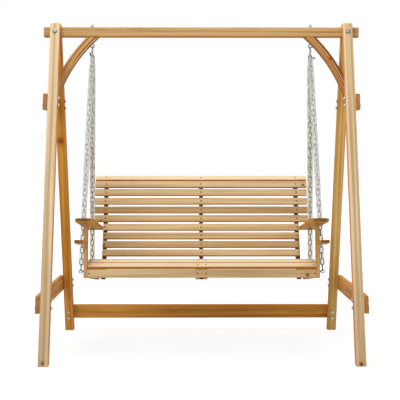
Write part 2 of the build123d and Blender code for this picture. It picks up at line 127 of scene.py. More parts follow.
class Graph:
    """A tree of nodes, with short ways to add to it."""

    def __init__(self, tree):
        self.tree = tree

    def put(self, socket, value):
        """A link from another node, or a constant, into an input."""
        if isinstance(value, Sock):
            self.tree.links.new(value.socket, socket)
        else:
            socket.default_value = value

    def node(self, kind, settings=None, inputs=None, out=0):
        """Any shader node. out names the output to go on with, or is a tuple of several."""
        made = self.tree.nodes.new("ShaderNode" + kind)
        for key, value in (settings or {}).items():
            setattr(made, key, value)
        for key, value in (inputs or {}).items():
            self.put(made.inputs[key], value)
        if isinstance(out, tuple):
            return [Sock(self, made.outputs[key]) for key in out]
        return Sock(self, made.outputs[out])

    def place(self):
        """Object coordinates: places in the frame, as each piece sits at the origin."""
        return self.node("TexCoord", out="Object")

    def attribute(self, name):
        return self.node("Attribute", {"attribute_name": name}, out="Vector")

    def split(self, vector):
        return self.node("SeparateXYZ", {}, {0: vector}, (0, 1, 2))

    def vector(self, x, y, z):
        return self.node("CombineXYZ", {}, {0: x, 1: y, 2: z})

    def noise(self, vector, scale=1.0, detail=2.0, roughness=0.5):
        inputs = {"Vector": vector, "Scale": scale, "Detail": detail, "Roughness": roughness}
        return self.node("TexNoise", {}, inputs)

    def step(self, value, low, high):
        """0 below low, 1 above high, and a smooth rise between."""
        inputs = {"Value": value, "From Min": low, "From Max": high}
        return self.node("MapRange", {"interpolation_type": "SMOOTHSTEP"}, inputs)

    def mix(self, factor, first, second):
        """A colour between two, each a socket or a colour as read from a picture."""
        inputs = {0: factor, 6: first, 7: second}
        inputs = {k: (*linear(*v), 1.0) if isinstance(v, tuple) else v for k, v in inputs.items()}
        return self.node("Mix", {"data_type": "RGBA"}, inputs, 2)

    def bump(self, height, strength, distance):
        inputs = {"Height": height, "Strength": strength, "Distance": distance}
        return self.node("Bump", {}, inputs)

    def close(self, shader, output):
        """The finished shader goes to the output node of the tree."""
        self.put(self.tree.nodes[output].inputs["Surface"], shader)


class Finish(Graph):
    """A material with one Principled shader."""

    def __init__(self, name):
        self.material = bpy.data.materials.new(name)
        self.material.use_nodes = True
        super().__init__(self.material.node_tree)
        self.shader = self.tree.nodes["Principled BSDF"]

    def set(self, **inputs):
        """Constants and links of the Principled shader; an underscore stands for a space."""
        for key, value in inputs.items():
            self.put(self.shader.inputs[key.replace("_", " ")], value)


# %% [markdown]
# ## Softwood
# Sawn fir shows growth rings about the tree's middle, cut by the flat face of a board: a soft pale early
# band and a thin darker late band. Each board carries its own coordinates in an attribute, `grain`:
# along, across and through it, so one formula serves boards that lie in any direction. A second one,
# `wood`, holds the board's tone and marks end grain, and the narrow sides and faces that look down, which
# take painted shade. A third attribute holds its half width and half thickness, so that painted shade can
# darken the edges, and marks the faces that look up, which take painted top light.

# %% Knots
KNOTS = {  # knots that show on the real boards: place in the frame, radius and darkness
    "left back leg": ((-0.805, 0.181, 1.148), 0.022, 0.45),
    "front apron": ((0.556, -0.318, 0.436), 0.010, 0.85),
    "right brace": ((0.714, -0.022, 1.601), 0.016, 0.50),
    "left slat": ((-0.580, 0.188, 0.686), 0.009, 0.60),
    "right slat": ((0.594, 0.260, 0.894), 0.010, 0.70),
    "left foot": ((-0.804, -0.555, 0.018), 0.010, 0.80),
    "right foot": ((0.801, -0.557, 0.012), 0.012, 0.95),
}
KNOT_BROWN, KNOT_RING = (92, 46, 20), (168, 88, 34)
KNOT_CELLS = (5.5, 13.0, 13.0)  # per metre along, across and through, each with one chance of a knot
KNOT_LONG = 0.62  # scattered knots are drawn out along the grain by the inverse of this


def knot_marks(f, x, y, z, here, chance):
    """A knot, its ring and the swirl of the grain, each 1 - step(distance from the middle). Scattered ones
    lie at the nearest of a random set of points, and those of KNOTS at their own places."""
    scaled = f.vector(x * KNOT_CELLS[0], y * KNOT_CELLS[1], z * KNOT_CELLS[2])
    middle, lot = f.node("TexVoronoi", {}, {"Vector": scaled, "Scale": 1.0}, ("Position", "Color"))
    px, py, pz = f.split(middle)
    dx, dy, dz = (px / KNOT_CELLS[0] - x) * KNOT_LONG, py / KNOT_CELLS[1] - y, pz / KNOT_CELLS[2] - z
    reach = (dx * dx + dy * dy + dz * dz).apply("SQRT")
    present = f.step(f.split(lot)[0], 1 - chance, 1.01 - chance)
    knot = (1 - f.step(reach, 0.0035, 0.0075)) * present * 0.85
    ring = (1 - f.step(reach, 0.0075, 0.0110)) * present
    swirl = (1 - f.step(reach, 0.0, 0.030)) * present
    for spot, size, dark in KNOTS.values():
        far = f.node("VectorMath", {"operation": "DISTANCE"}, {0: here, 1: spot}, "Value")
        knot = knot.apply("MAXIMUM", (1 - f.step(far, size * 0.30, size * 0.75)) * dark)
        ring = ring.apply("MAXIMUM", 1 - f.step(far, size * 0.80, size * 1.15))
        swirl = swirl.apply("MAXIMUM", 1 - f.step(far, 0.0, size * 3.2))
    return knot, ring, swirl


print("knots with a place of their own:", len(KNOTS))

# %% Softwood finish
RINGS_PER_METRE, PITH_BEHIND = 210.0, 0.045
# the pale colour that faces looking up go to: painted top light
TOP_LIGHT_PALE = (240, 221, 188)
# below this height the colour darkens towards the ground: painted shade
GROUND_SHADE_HEIGHT = 0.75


def softwood(name, pale, deep, end_tone, side_shade_tone, top_lit=0.0, ground_shade=0.0, stripes=(), stripe_from=None,
             figure=1.0, knots=0.12):
    """Growth rings: late = a ramp of the fraction of distance-from-pith over ring width, bent by noise and
    pushed aside by knots. The colour runs from pale to deep with late bands, fibres and streaks, by figure.
    stripes are (place, half width, colour, amount): across a brace past stripe_from along it, or through
    a leg, which shows its narrow way to the front. The fourth colour is painted shade, on narrow sides, on
    faces that look down and along the edges. Painted top light makes faces that look up paler, painted
    shade deepens the colour near the ground, and knots is the chance of a scattered knot."""
    f = Finish(name)
    here = f.place()
    along, across, through = f.split(f.attribute("grain"))
    tone, end, shaded_side = f.split(f.attribute("wood"))
    half_across, half_through, upward = f.split(f.attribute("wear"))
    shift = tone * 17.0  # so that no two boards show the same piece of the pattern
    x, y, z = along + shift, across + shift * 0.37, through + shift * 0.21
    knot, ring, swirl = knot_marks(f, x, y, z, here, knots)

    def drawn_out(run, cross):
        """Noise with so many waves per metre along the grain, and so many across it."""
        return f.noise(f.vector(x * run, y * cross, z * cross))

    # rings about a pith that lies behind the board and wanders along it
    slow = drawn_out(1.3, 7.0) - 0.5
    pith_y = across + (tone - 0.5) * 0.05 + slow * 0.05
    pith_z = through + PITH_BEHIND + slow * 0.02
    radius = (pith_y * pith_y + pith_z * pith_z).apply("SQRT")
    rings = (radius * RINGS_PER_METRE + swirl * 1.6 + slow * 1.5).apply("FRACT")
    late = f.step(rings, 0.35, 0.92) * (1 - f.step(rings, 0.93, 1.0))

    streak, blotch, fibre = drawn_out(0.9, 62.0), drawn_out(2.5, 6.0), drawn_out(14.0, 900.0)
    broad = f.step(streak, 0.38, 0.62)
    thin = f.step(drawn_out(1.7, 190.0), 0.36, 0.64)
    depth = late * 0.24 + (broad - 0.5) * (0.47 * figure) + (thin - 0.5) * (0.22 * figure**2) + 0.345
    depth = depth + (fibre - 0.5) * 0.25 + (blotch - 0.5) * 0.4 + (tone - 0.5) * 0.35 + swirl * 0.35
    colour = f.mix(depth, pale, deep)
    for middle, half, stripe, amount in stripes:
        place = through + slow * 0.012 if stripe_from is None else across
        shown = 1 - f.step((place - middle).apply("ABSOLUTE"), half * 0.4, half)
        if stripe_from is not None:
            shown = shown * f.step(along, stripe_from - 0.04, stripe_from + 0.04)
        colour = f.mix(shown * (amount * 0.7 + streak * amount * 0.6), colour, stripe)
    # painted shade: narrow sides and faces that look down take a deeper, warmer colour
    colour = f.mix(shaded_side, colour, f.mix(streak * 0.4, side_shade_tone, deep))

    # painted shade darkens the rounded edges: the larger of the two distances to the sides, as the other is
    # near zero
    inside_a = half_across - across.apply("ABSOLUTE")
    inside_t = half_through - through.apply("ABSOLUTE")
    edge_shade = 1 - f.step(inside_a.apply("MAXIMUM", inside_t), 0.0010, 0.0060)
    colour = f.mix(edge_shade * (0.15 + streak * 0.4), colour, side_shade_tone)
    # painted top light: faces that look up go paler and less saturated
    if top_lit:
        colour = f.mix(upward * (top_lit * 0.6 + blotch * top_lit * 0.8), colour, TOP_LIGHT_PALE)
    colour = f.mix(end * (0.70 + 0.4 * streak), colour, end_tone)
    # painted shade: darker towards the ground
    if ground_shade:
        low = 1 - f.step(f.split(here)[2], 0.0, GROUND_SHADE_HEIGHT)
        colour = f.mix(low * (ground_shade * 0.6 + blotch * ground_shade * 0.8), colour, end_tone)
    colour = f.mix(knot, f.mix(ring * 0.65, colour, KNOT_RING), KNOT_BROWN)
    f.set(
        Base_Color=colour,
        Roughness=0.52 + late * 0.10 + (fibre - 0.5) * 0.12,
        Normal=f.bump(late * 0.5 + fibre * 0.5 - knot * 0.4, 0.22, 0.0006),
        Specular_IOR_Level=0.08,
    )
    return f.material


# %% The woods of this swing
END_BROWN, BACK_END = (146, 98, 52), (150, 108, 68)
DARK_BROWN, PALE_STRIPE = (112, 58, 22), (232, 196, 136)
LEG_TAN, LEG_CREAM = (186, 146, 92), (236, 217, 180)
leg_stripes = {
    "left": ((0.001, 0.010, LEG_TAN, 0.42), (-0.018, 0.006, LEG_CREAM, 0.35)),
    "right": ((0.006, 0.011, LEG_TAN, 0.50), (-0.016, 0.006, LEG_TAN, 0.65),
              (0.021, 0.006, LEG_CREAM, 0.4)),
}
leg_woods = {
    side: softwood(f"pale_{side}_leg_timber", (234, 211, 174), (187, 156, 111), END_BROWN, (232, 144, 56),
                   ground_shade=0.30, figure=1.05, knots=0.01, stripes=stripes)
    for side, stripes in leg_stripes.items()
}
beam_wood = softwood("honey_beam_timber", (212, 174, 121), (161, 119, 67), END_BROWN, (190, 114, 30),
                     figure=1.2, knots=0.05)
brace_woods = {
    "left": softwood("left_brace_timber", (214, 168, 108), (166, 114, 58), END_BROWN, (166, 90, 24),
                     stripe_from=0.50, figure=1.6, knots=0.01,
                     stripes=((-0.0105, 0.0044, DARK_BROWN, 1.0), (-0.0165, 0.0035, PALE_STRIPE, 0.7))),
    "right": softwood("right_brace_timber", (212, 158, 92), (164, 106, 50), END_BROWN, (166, 90, 24),
                      stripe_from=0.0, figure=1.7, knots=0.01,
                      stripes=((0.0205, 0.0042, DARK_BROWN, 1.0), (0.0120, 0.0034, DARK_BROWN, 1.0),
                               (0.0070, 0.0034, PALE_STRIPE, 1.0), (0.0020, 0.0034, DARK_BROWN, 0.9))),
}
orange_wood = softwood("orange_back_timber", (240, 178, 84), (186, 118, 36), BACK_END, (214, 132, 30),
                       ground_shade=0.15, figure=1.2, knots=0.02)
yellow_wood = softwood("yellow_back_timber", (248, 212, 136), (198, 144, 66), BACK_END, (222, 150, 56),
                       ground_shade=0.15, figure=1.2, knots=0.02)
slat_wood = softwood("oiled_slats", (223, 195, 150), (178, 143, 95), END_BROWN, (190, 116, 22),
                     top_lit=0.55, knots=0.03)
arm_wood = softwood("oiled_arm_boards", (214, 176, 124), (170, 126, 76), (116, 74, 34), (204, 142, 30))
# painted shade: the stiles' dark red-brown stands for the shade they lie in behind the slats
shaded_stile_wood = softwood("red_brown_stiles", (150, 78, 30), (104, 46, 16), (96, 44, 18), (120, 56, 20))
print("wood finishes:", len(leg_woods) + len(brace_woods) + 6)

# %% [markdown]
# ## Boards with eased edges
# A planed board is a flat outline pushed through a thickness, with all its edges sanded round. The
# outline is read from the flat end of the measured node, so each board stays where its node is. Corners
# become short curves, and rings of the outline step in by a quarter circle as they near the two faces.

# %% Outlines from the frame
X, Y, Z = np.eye(3)
SAME_PLACE = 6  # decimals of a metre to which loose points are matched
FLATNESS = 2e-5


def unit(vectors):
    """A vector, or each row of an array, at length one."""
    return vectors / np.linalg.norm(vectors, axis=-1, keepdims=True)


def middle_of(points):
    return (points.max(axis=0) + points.min(axis=0)) / 2


def node_mesh(name, side=None):
    """Points and triangles of a measured node, or its half on one side of x = 0, loose and then joined."""
    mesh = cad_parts[name].data
    mesh.calc_loop_triangles()
    points = np.array([tuple(vertex.co) for vertex in mesh.vertices])
    triangles = np.array([tuple(face.vertices) for face in mesh.loop_triangles])
    if side is not None:
        triangles = triangles[(points[triangles][:, :, 0] * side > 0).all(axis=1)]
    places, ids = np.unique(np.round(points, SAME_PLACE), axis=0, return_inverse=True)
    return points, triangles, places, ids.reshape(-1)[triangles]


def end_loops(name, axis, side=None):
    """Closed border loops of the flat end that faces along axis: edges met by one triangle only."""
    points, triangles, places, joined = node_mesh(name, side)
    height = (points @ axis)[triangles]
    flat = joined[(height > height.max() - FLATNESS).all(axis=1)]
    edges = np.concatenate([flat[:, [0, 1]], flat[:, [1, 2]], flat[:, [2, 0]]])
    code, back = edges @ (len(places), 1), edges @ (1, len(places))
    follow = dict(edges[~np.isin(code, back)].tolist())
    loops = []
    while follow:
        start, here = follow.popitem()
        loop = [start]
        while here != start:
            loop.append(here)
            here = follow.pop(here)
        loops.append(places[loop])
    return loops, height.max(), np.ptp(height)


def soften_corners(loop, radius, points=4, sharp=25.0):
    """Each sharp corner of a closed flat loop becomes a short curve: (1-s)^2 a + 2s(1-s) c + s^2 b."""
    before, after = np.roll(loop, 1, axis=0) - loop, np.roll(loop, -1, axis=0) - loop
    size_b, size_a = (np.linalg.norm(d, axis=1, keepdims=True) for d in (before, after))
    before, after = before / size_b, after / size_a
    turn = np.degrees(np.arccos(np.clip(-(before * after).sum(axis=1), -1, 1)))
    cut = np.minimum(radius, 0.45 * np.minimum(size_b, size_a)) * (turn > sharp)[:, None]
    s = np.linspace(0, 1, points)[None, :, None]
    a, b = (loop + before * cut)[:, None], (loop + after * cut)[:, None]
    curve = (1 - s) ** 2 * a + 2 * s * (1 - s) * loop[:, None] + s**2 * b
    keep = (turn > sharp)[:, None] | (np.arange(points) == 0)[None, :]
    return curve[keep]


def inward(loop):
    """Normals to the left of a closed loop at its corners, stretched so that sides keep their distance."""
    ahead = unit(np.roll(loop, -1, axis=0) - loop)
    left = np.stack([-ahead[:, 1], ahead[:, 0]], axis=1)
    mean = unit(left + np.roll(left, 1, axis=0))
    return mean / np.maximum((mean * left).sum(axis=1, keepdims=True), 0.5)


print("outlines of the beam:", len(end_loops("top_beam", Y)[0]))


# %% Meshes into the scene
def ring_faces(rows, columns):
    """Quads of a grid that closes round its columns."""
    j, i = np.meshgrid(np.arange(rows - 1), np.arange(columns), indexing="ij")
    k = (i + 1) % columns
    j = j * columns
    return np.stack([j + i, j + k, j + columns + k, j + columns + i], -1).reshape(-1, 4)


def add_piece(name, points, faces, body, slot, material, nodes=(), **attributes):
    """A mesh at the origin from arrays, with its finish, its body and the measured nodes it stands for."""
    mesh = bpy.data.meshes.new(name)
    mesh.from_pydata(points, [], faces)
    mesh.polygons.foreach_set("use_smooth", np.ones(len(mesh.polygons), bool))
    for key, values in attributes.items():
        layer = mesh.attributes.new(key, "FLOAT_VECTOR", "POINT")
        layer.data.foreach_set("vector", np.asarray(values, np.float32).ravel())
    mesh.materials.append(material)
    mesh.validate()
    piece = bpy.data.objects.new(name, mesh)
    scene.collection.objects.link(piece)
    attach(piece, body)
    if nodes:
        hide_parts(*nodes)
    return piece


def slab(loops, top, thickness, axis, ease):
    """A board: outline rings at depth e(1-cos t) and inset e(1-sin t), t to 90 degrees, at both faces."""
    u = unit(np.cross(Y if abs(axis[1]) < 0.9 else X, axis))
    v = np.cross(axis, u)
    flats = [soften_corners(np.stack([loop @ u, loop @ v], axis=1), ease) for loop in loops]
    t = np.linspace(0, np.pi / 2, 4)
    inset, depth = ease * (1 - np.sin(t)), ease * (1 - np.cos(t))
    inset, depth = np.append(inset, inset[::-1]), np.append(depth, thickness - depth[::-1])
    tip = np.append(np.cos(t), -np.cos(t)[::-1])
    lean = np.sqrt(np.maximum(1 - tip**2, 0))[:, None, None]
    high = (top - depth)[:, None, None]
    points, normals, faces, caps, first = [], [], [], [], 0
    for flat in flats:
        n, rows = len(flat), len(inset)
        left = inward(flat)
        ring = flat[None] + inset[:, None, None] * left[None]
        points.append((ring[..., :1] * u + ring[..., 1:] * v + high * axis).reshape(-1, 3))
        out = -unit(left[:, :1] * u + left[:, 1:] * v)
        normals.append((out[None] * lean + axis * tip[:, None, None]).reshape(-1, 3))
        faces += (ring_faces(rows, n)[:, ::-1] + first).tolist()
        caps.append((ring[0], first + np.arange(n), first + (rows - 1) * n + np.arange(n)))
        first += rows * n
    flat_ring, upper, lower = (np.concatenate(part) for part in zip(*caps))
    triangles = np.array(tessellate_polygon([[Vector((*p, 0.0)) for p in c[0]] for c in caps]))
    a, b, c = (flat_ring[triangles[:, m]] for m in range(3))
    turned_over = np.cross(b - a, c - a) < 0
    triangles[turned_over] = triangles[turned_over][:, ::-1]
    faces += upper[triangles].tolist() + lower[triangles[:, ::-1]].tolist()
    return np.concatenate(points), np.concatenate(normals), faces


# %% One board
tones = np.random.default_rng(21)
made_boards = []


def rise(value, start, width):
    return np.clip((value - start) / width, 0, 1)


def board(body, slot, material, node, axis, along, narrow, ease=0.0025, tone=None, side=None, bend=None,
          name=None):
    """One measured node, or its half on one side, as an eased board. axis: out of its flat face; along: the
    way of its grain; narrow: across its narrow edges, whose sides take painted shade in a deeper colour;
    bend: turns points into grain coordinates where the board is curved."""
    axis, along, narrow = unit(axis), unit(along), unit(narrow)
    points, normals, faces = slab(*end_loops(node, axis, side), axis, ease)
    across = unit(np.cross(along, narrow if abs(axis @ along) > 0.9 else axis))
    grain = (points - middle_of(points)) @ np.stack([along, across, np.cross(along, across)], axis=1)
    end = rise(np.abs(normals @ along), 0.75, 0.2)
    # upward marks faces that look up, for painted top light; painted shade deepens narrow sides and faces
    # that look down, less where they look up
    upward, below = rise(normals[:, 2], 0.45, 0.4), rise(-normals[:, 2], 0.35, 0.4)
    shaded_side = rise(np.abs(normals @ narrow), 0.6, 0.3) * (1 - 0.8 * upward)
    shaded_side = np.maximum(shaded_side, below) * (1 - end)
    if bend is not None:
        grain, end = bend(points), end * 0
    tone = tones.random() if tone is None else tone
    wood = np.stack(np.broadcast_arrays(tone, end, shaded_side), axis=1)
    _, half_across, half_through = np.abs(grain).max(axis=0)
    wear = np.stack(np.broadcast_arrays(half_across, half_through, upward), axis=1)
    nodes = [node] if side in (None, 1) else []
    piece = add_piece(name or node, points, faces, body, slot, material, nodes,
                      grain=grain, wood=wood, wear=wear)
    piece.modifiers.new("flat faces stay flat", "WEIGHTED_NORMAL").keep_sharp = True
    made_boards.append(piece)


# %% [markdown]
# ## The stand
# Four legs lean together over the beam, two boards tie each pair at the sides, one ties the back legs, and
# two curved braces run from the beam to the side boards. The grain of a leg runs up it, and that of a
# curved brace follows its arc.

# %% Stand boards
SIDES = (("left", -1), ("right", 1))
LEG_EASE = 0.003
LEG_FACE_AT_TOP = 0.0425  # how far before the middle the front legs' faces are, where they end
low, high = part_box("front_leg_left")
foot_reach = -low.y
leg_run = unit((0.0, foot_reach - LEG_FACE_AT_TOP, high.z))
back_out = unit((0.0, leg_run[2], leg_run[1]))  # square to the back legs' faces
stand_board = partial(board, "stand", "stand_wood")

for side, hand in SIDES:
    stand_board(leg_woods[side], f"front_leg_{side}", X, leg_run, X, LEG_EASE, tone=0.325 + 0.075 * hand)
    back_leg_wood = orange_wood if side == "left" else yellow_wood
    stand_board(back_leg_wood, f"back_leg_{side}", X, leg_run * (1, -1, 1), X, LEG_EASE)
    for name in ("upper_side_brace", "lower_side_stretcher"):
        # painted light: the right side boards are paler, as lit by the key lamp on the left, and the left
        # ones darker, as painted shade
        stand_board(orange_wood, f"{name}_{side}", X, Y, Z, tone=0.5 - 0.4 * hand)
stand_board(beam_wood, "top_beam", Y, X, Z, LEG_EASE, tone=0.3)
stand_board(orange_wood, "back_stretcher", back_out, X, np.cross(X, back_out), tone=0.45)

# %% Curved braces
beam_low, beam_top = (corner.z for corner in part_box("top_beam"))
BRACE_MIDDLE = np.array([0.0375, 0.0, beam_low - 0.603])  # middle of the right brace's arcs
BRACE_RADIUS = 0.822  # of the line midway between the two arcs
ARC_PER_RADIAN = 0.82


def round_the_arc(points, hand):
    """Along the arc: angle times radius; across: distance from the middle radius; through: depth."""
    away = points - BRACE_MIDDLE * (hand, 1, 1)
    reach = np.hypot(away[:, 0], away[:, 2])
    turn = np.arctan2(away[:, 2], away[:, 0] * hand)
    return np.stack([turn * ARC_PER_RADIAN, reach - BRACE_RADIUS, away[:, 1]], axis=1)


for side, hand in SIDES:
    stand_board(brace_woods[side], f"curved_brace_{side}", Y, Z, X, tone=0.35,
                bend=partial(round_the_arc, hand=hand))
print("stand boards:", len(made_boards))

# %% [markdown]
# ## The bench
# Slats are the same small board many times, so their tones are drawn from a seeded set, and a few that have
# weathered differently are set apart. The seat supports are darker, the stiles behind the slats take a
# dark red-brown that is painted shade, and the armrests are wider boards with a hole for each chain.

# %% Bench boards
ARM_TILT = np.radians(8.0)
level = np.array([0.0, np.cos(ARM_TILT), -np.sin(ARM_TILT)])  # back along the armrests
square = np.array([0.0, np.sin(ARM_TILT), np.cos(ARM_TILT)])  # up, square to the armrests
SEAT_SLATS = [f"seat_slat_{i}" for i in range(1, 9)]
BACK_SLATS = [f"back_slat_{i}" for i in range(1, 11)]  # from the seat up
SUPPORTS = [f"seat_support_{place}" for place in ("left", "centre_left", "centre_right", "right")]
STILES = [f"back_stile_{place}" for place in ("left", "centre", "right")]
WEATHERED = {"back_slat_1": 0.7, "back_slat_2": 1.2, "back_slat_6": 1.6, "back_slat_9": -0.3,
             "back_slat_10": -0.6}  # darker, or paler where below zero
SLAT_EASE, CRISP_EASE, FRAME_EASE = 0.0028, 0.0012, 0.002
slat_board = partial(board, "bench", "slat_wood", slat_wood)
arm_board = partial(board, "bench", "bench_wood", arm_wood)
dark_red_board = partial(board, "bench", "stained_wood", shaded_stile_wood)


def slat_width(name):
    """The direction across a slat, along the longest side of its end outline."""
    loop = end_loops(name, X)[0][0]
    sides = np.roll(loop, -1, axis=0) - loop
    return unit(sides[np.argmax(np.linalg.norm(sides, axis=1))])


for name in SEAT_SLATS:
    slat_board(name, X, X, slat_width(name), CRISP_EASE if name == SEAT_SLATS[0] else SLAT_EASE)
for name in BACK_SLATS:
    slat_board(name, X, X, slat_width(name), SLAT_EASE, tone=tones.random() + WEATHERED.get(name, 0.0))
slat_board("front_apron", X, X, square, CRISP_EASE, tone=0.5)
for name in SUPPORTS:
    arm_board(name, X, level, square, FRAME_EASE)
for name in STILES:
    dark_red_board(name, X, Z, Y, FRAME_EASE)
for side, hand in SIDES:
    arm_board(f"arm_post_{side}", X, square, square, FRAME_EASE)
    arm_board(f"armrest_{side}", square, level, X, 0.004)
    arm_board(f"arm_shelf_{side}", square, level, X, 0.003)
    dark_red_board("packing_blocks", X, level, square, FRAME_EASE, side=hand, name=f"packing_block_{side}")
print("boards in all:", len(made_boards))

# %% [markdown]
# ## Steel and clear sleeves
# Bolts, links and chains are zinc-plated steel: bright, with a slightly mottled dull bloom. The sleeves
# are thin soft plastic, so light passes and the links show through as grey shapes. Film like this is
# cheaper and steadier as a surface with some transparency than as real refraction.


# %% Steel
def plated_steel(name, bright, dull, roughness):
    """Zinc plating: two greys mixed by a fine mottle, with the mottle also on the roughness."""
    f = Finish(name)
    here = f.place()
    mottle = f.noise(here, 260.0, 3.0, 0.6)
    bloom = f.noise(here, 45.0)
    f.set(
        Base_Color=f.mix(f.step(mottle * 0.6 + bloom * 0.4, 0.35, 0.65), dull, bright),
        Roughness=roughness + (mottle - 0.5) * 0.25,
        Normal=f.bump(mottle, 0.15, 0.0004),
        Metallic=1.0,
    )
    return f.material


zinc = plated_steel("zinc_plated_bolts", (206, 208, 208), (150, 152, 152), 0.34)
dark_zinc = plated_steel("zinc_washers", (128, 126, 122), (86, 84, 80), 0.42)
link_zinc = plated_steel("zinc_links", (172, 176, 174), (96, 100, 100), 0.36)
chain_zinc = plated_steel("galvanised_chain", (100, 98, 88), (52, 50, 42), 0.44)
screw_zinc = plated_steel("screw_heads", (96, 90, 66), (52, 46, 30), 0.46)
tie_wire = plated_steel("dark_tie_wire", (84, 62, 44), (40, 30, 22), 0.60)
bolt_zinc = plated_steel("dull_bolt_heads", (158, 166, 170), (112, 120, 124), 0.52)
print("metal finishes: 7")

# %% Film
LINKS_PER_METRE = 36.0
FILM_GLINT, LINK_SHADE = (250, 251, 247), (50, 56, 54)


def clear_film(name, dull, milky, clearing):
    """Milky film: alpha and colour rise where creases gather, with painted glints from a finer noise. Down
    its front and back run dark ovals a link apart, painted shade of the links, with a painted highlight
    beside
    each: 1 - step(hypot(along / length, across / width)). Below the armrests the film hangs loose, with
    fewer creases, and clears by the share called clearing."""
    f = Finish(name)
    along, c, s = f.split(f.attribute("sleeve"))
    crease = f.noise(f.vector(along * 40.0, c * 1.1, s * 1.1), 1.0, 3.0, 0.65)
    speck = f.noise(f.vector(along * 110.0, c * 2.6, s * 2.6), detail=1.0)
    slow = f.noise(f.vector(along * 24.0, s, 0.0), detail=1.0)
    loose = f.step(along, 0.86, 0.95)
    rough = (0.45 + 0.55 * f.step(along, 0.10, 0.40)) * (1 - loose * 0.8)
    beat = (along * LINKS_PER_METRE).apply("FRACT") - 0.5
    drift = c + (slow - 0.5) * 1.2

    def oval_mark(up, aside, length, width):
        u, v = (beat - up) / length, (drift - aside) / width
        return (1 - f.step((u * u + v * v).apply("SQRT"), 0.6, 1.4)) * (1 - loose)

    # painted shade of the links, and a painted highlight beside each
    spot = oval_mark(0.0, 0.0, 0.16, 0.25) * (0.45 + 0.9 * slow)
    shine = oval_mark(-0.30, 0.34, 0.10, 0.17)
    gather = f.step(crease, 0.44, 0.74) * rough
    glint = (f.step(speck, 0.58, 0.66) * rough).apply("MAXIMUM", shine)
    colour = f.mix(glint, f.mix(gather, dull, milky), FILM_GLINT)
    cover = (0.42 + gather * 0.20 + glint * 0.30 + spot * 0.55) * (1 - loose * clearing)
    f.set(
        Base_Color=f.mix(spot * 0.95, colour, LINK_SHADE),
        Alpha=cover.apply("MINIMUM", 1.0),
        Roughness=0.30 + crease * 0.2,
        Normal=f.bump(crease, 0.5, 0.002),
    )
    return f.material


films = {
    "front": clear_film("cool_sleeve_film", (226, 234, 231), (248, 252, 250), 0.35),
    "rear": clear_film("warm_sleeve_film", (208, 203, 173), (239, 236, 213), 0.16),
}
print("films:", len(films))

# %% [markdown]
# ## Turned and bent shapes
# Nearly all the hardware is a profile turned about an axis, as for a bolt head, washer or nut, or a round
# wire bent into a flat closed loop, as for an eye, a quick link or a chain link. Both are grids of two
# parameters, so whole sets of them are one array sum.


# %% Turned profiles and wire loops
def angles(count):
    return np.arange(count) * 2 * np.pi / count


def swept(centres, u, v, radii, sides):
    """Circles about a row of centres, joined and closed at both ends: p = c + r (u cos t + v sin t)."""
    t = angles(sides)[:, None]
    circle = np.cos(t) * np.atleast_2d(u)[:, None] + np.sin(t) * np.atleast_2d(v)[:, None]
    points = centres[:, None] + np.reshape(radii, (-1, 1, 1)) * circle
    row = np.arange(sides)
    caps = [row[::-1].tolist(), (row + (len(centres) - 1) * sides).tolist()]
    return points.reshape(-1, 3), ring_faces(len(centres), sides).tolist() + caps


def turned(profile, origin, axis, sides=20):
    """A profile of (radius, height) turned about an axis."""
    radii, heights = np.transpose(profile)
    u = unit(np.cross(axis, Z if abs(axis[2]) < 0.9 else X))
    return swept(origin + heights[:, None] * axis, u, np.cross(axis, u), radii, sides)


def tube(path, radius, sides):
    """Round wire along an open path, its circles square to the path."""
    ahead = unit(np.gradient(path, axis=0))
    u = unit(np.cross(ahead, Y))
    return swept(path, u, np.cross(ahead, u), radius, sides)


def oval(radius, half_straight, per_end):
    """A flat loop of two half circles joined by straight sides, as (across, along) points."""
    a = np.linspace(0, np.pi, per_end)
    upper = np.stack([radius * np.cos(a), half_straight + radius * np.sin(a)], axis=1)
    return np.concatenate([upper, -upper])


def wire_loops(flat, origins, across, along, wire, sides):
    """Round wire along flat loops: p = c + w (n cos t + s sin t), n square to the loop, s in its plane."""
    origins, across, along = (np.atleast_2d(a) for a in (origins, across, along))
    normal = np.cross(across, along)[:, None, None]
    ahead = unit(np.roll(flat, -1, axis=0) - np.roll(flat, 1, axis=0))
    out = np.stack([ahead[:, 1], -ahead[:, 0]], axis=1)

    def lift(pairs):
        return pairs[None, :, :1] * across[:, None] + pairs[None, :, 1:] * along[:, None]

    t = angles(sides)[:, None]
    centre = (lift(flat) + origins[:, None])[:, :, None]
    points = centre + wire * (np.sin(t) * lift(out)[:, :, None] + np.cos(t) * normal)
    each = len(flat) * sides
    faces = ring_faces(len(flat) + 1, sides) % each + np.arange(len(points))[:, None, None] * each
    return points.reshape(-1, 3), faces.reshape(-1, 4).tolist()


# %% Joining shapes, and reading the measured ones
SHARP_EDGE = np.radians(35.0)


def gathered(parts):
    """Several meshes joined as one list of points and faces."""
    starts = np.cumsum([0] + [len(p) for p, _ in parts])
    faces = [[i + s for i in face] for (_, some), s in zip(parts, starts) for face in some]
    return np.concatenate([p for p, _ in parts]), faces


def add_metal(name, parts, body, material, nodes=()):
    """Hardware joined into one piece, smooth but for edges that turn sharply."""
    piece = add_piece(name, *gathered(parts), body, "zinc_steel", material, nodes)
    piece.data.set_sharp_from_angle(angle=SHARP_EDGE)


def solids(name):
    """Points of each separate solid of a node: labels spread over shared triangles until they settle."""
    _, _, places, triangles = node_mesh(name)
    label, last = np.arange(len(places)), None
    while last is None or (label != last).any():
        last = label.copy()
        for corner in triangles.T:
            np.minimum.at(label, corner, last[triangles].min(axis=1))
    return [places[label == k] for k in np.unique(label)]


def span(points, axis):
    along = points @ axis
    return along.min(), along.max()


def middle_line(points, axis, height):
    """The point of a solid's middle line at a height along its axis."""
    centre = middle_of(points)
    return centre + axis * (height - centre @ axis)


print("solids in the side bolts:", len(solids("side_bolts")))

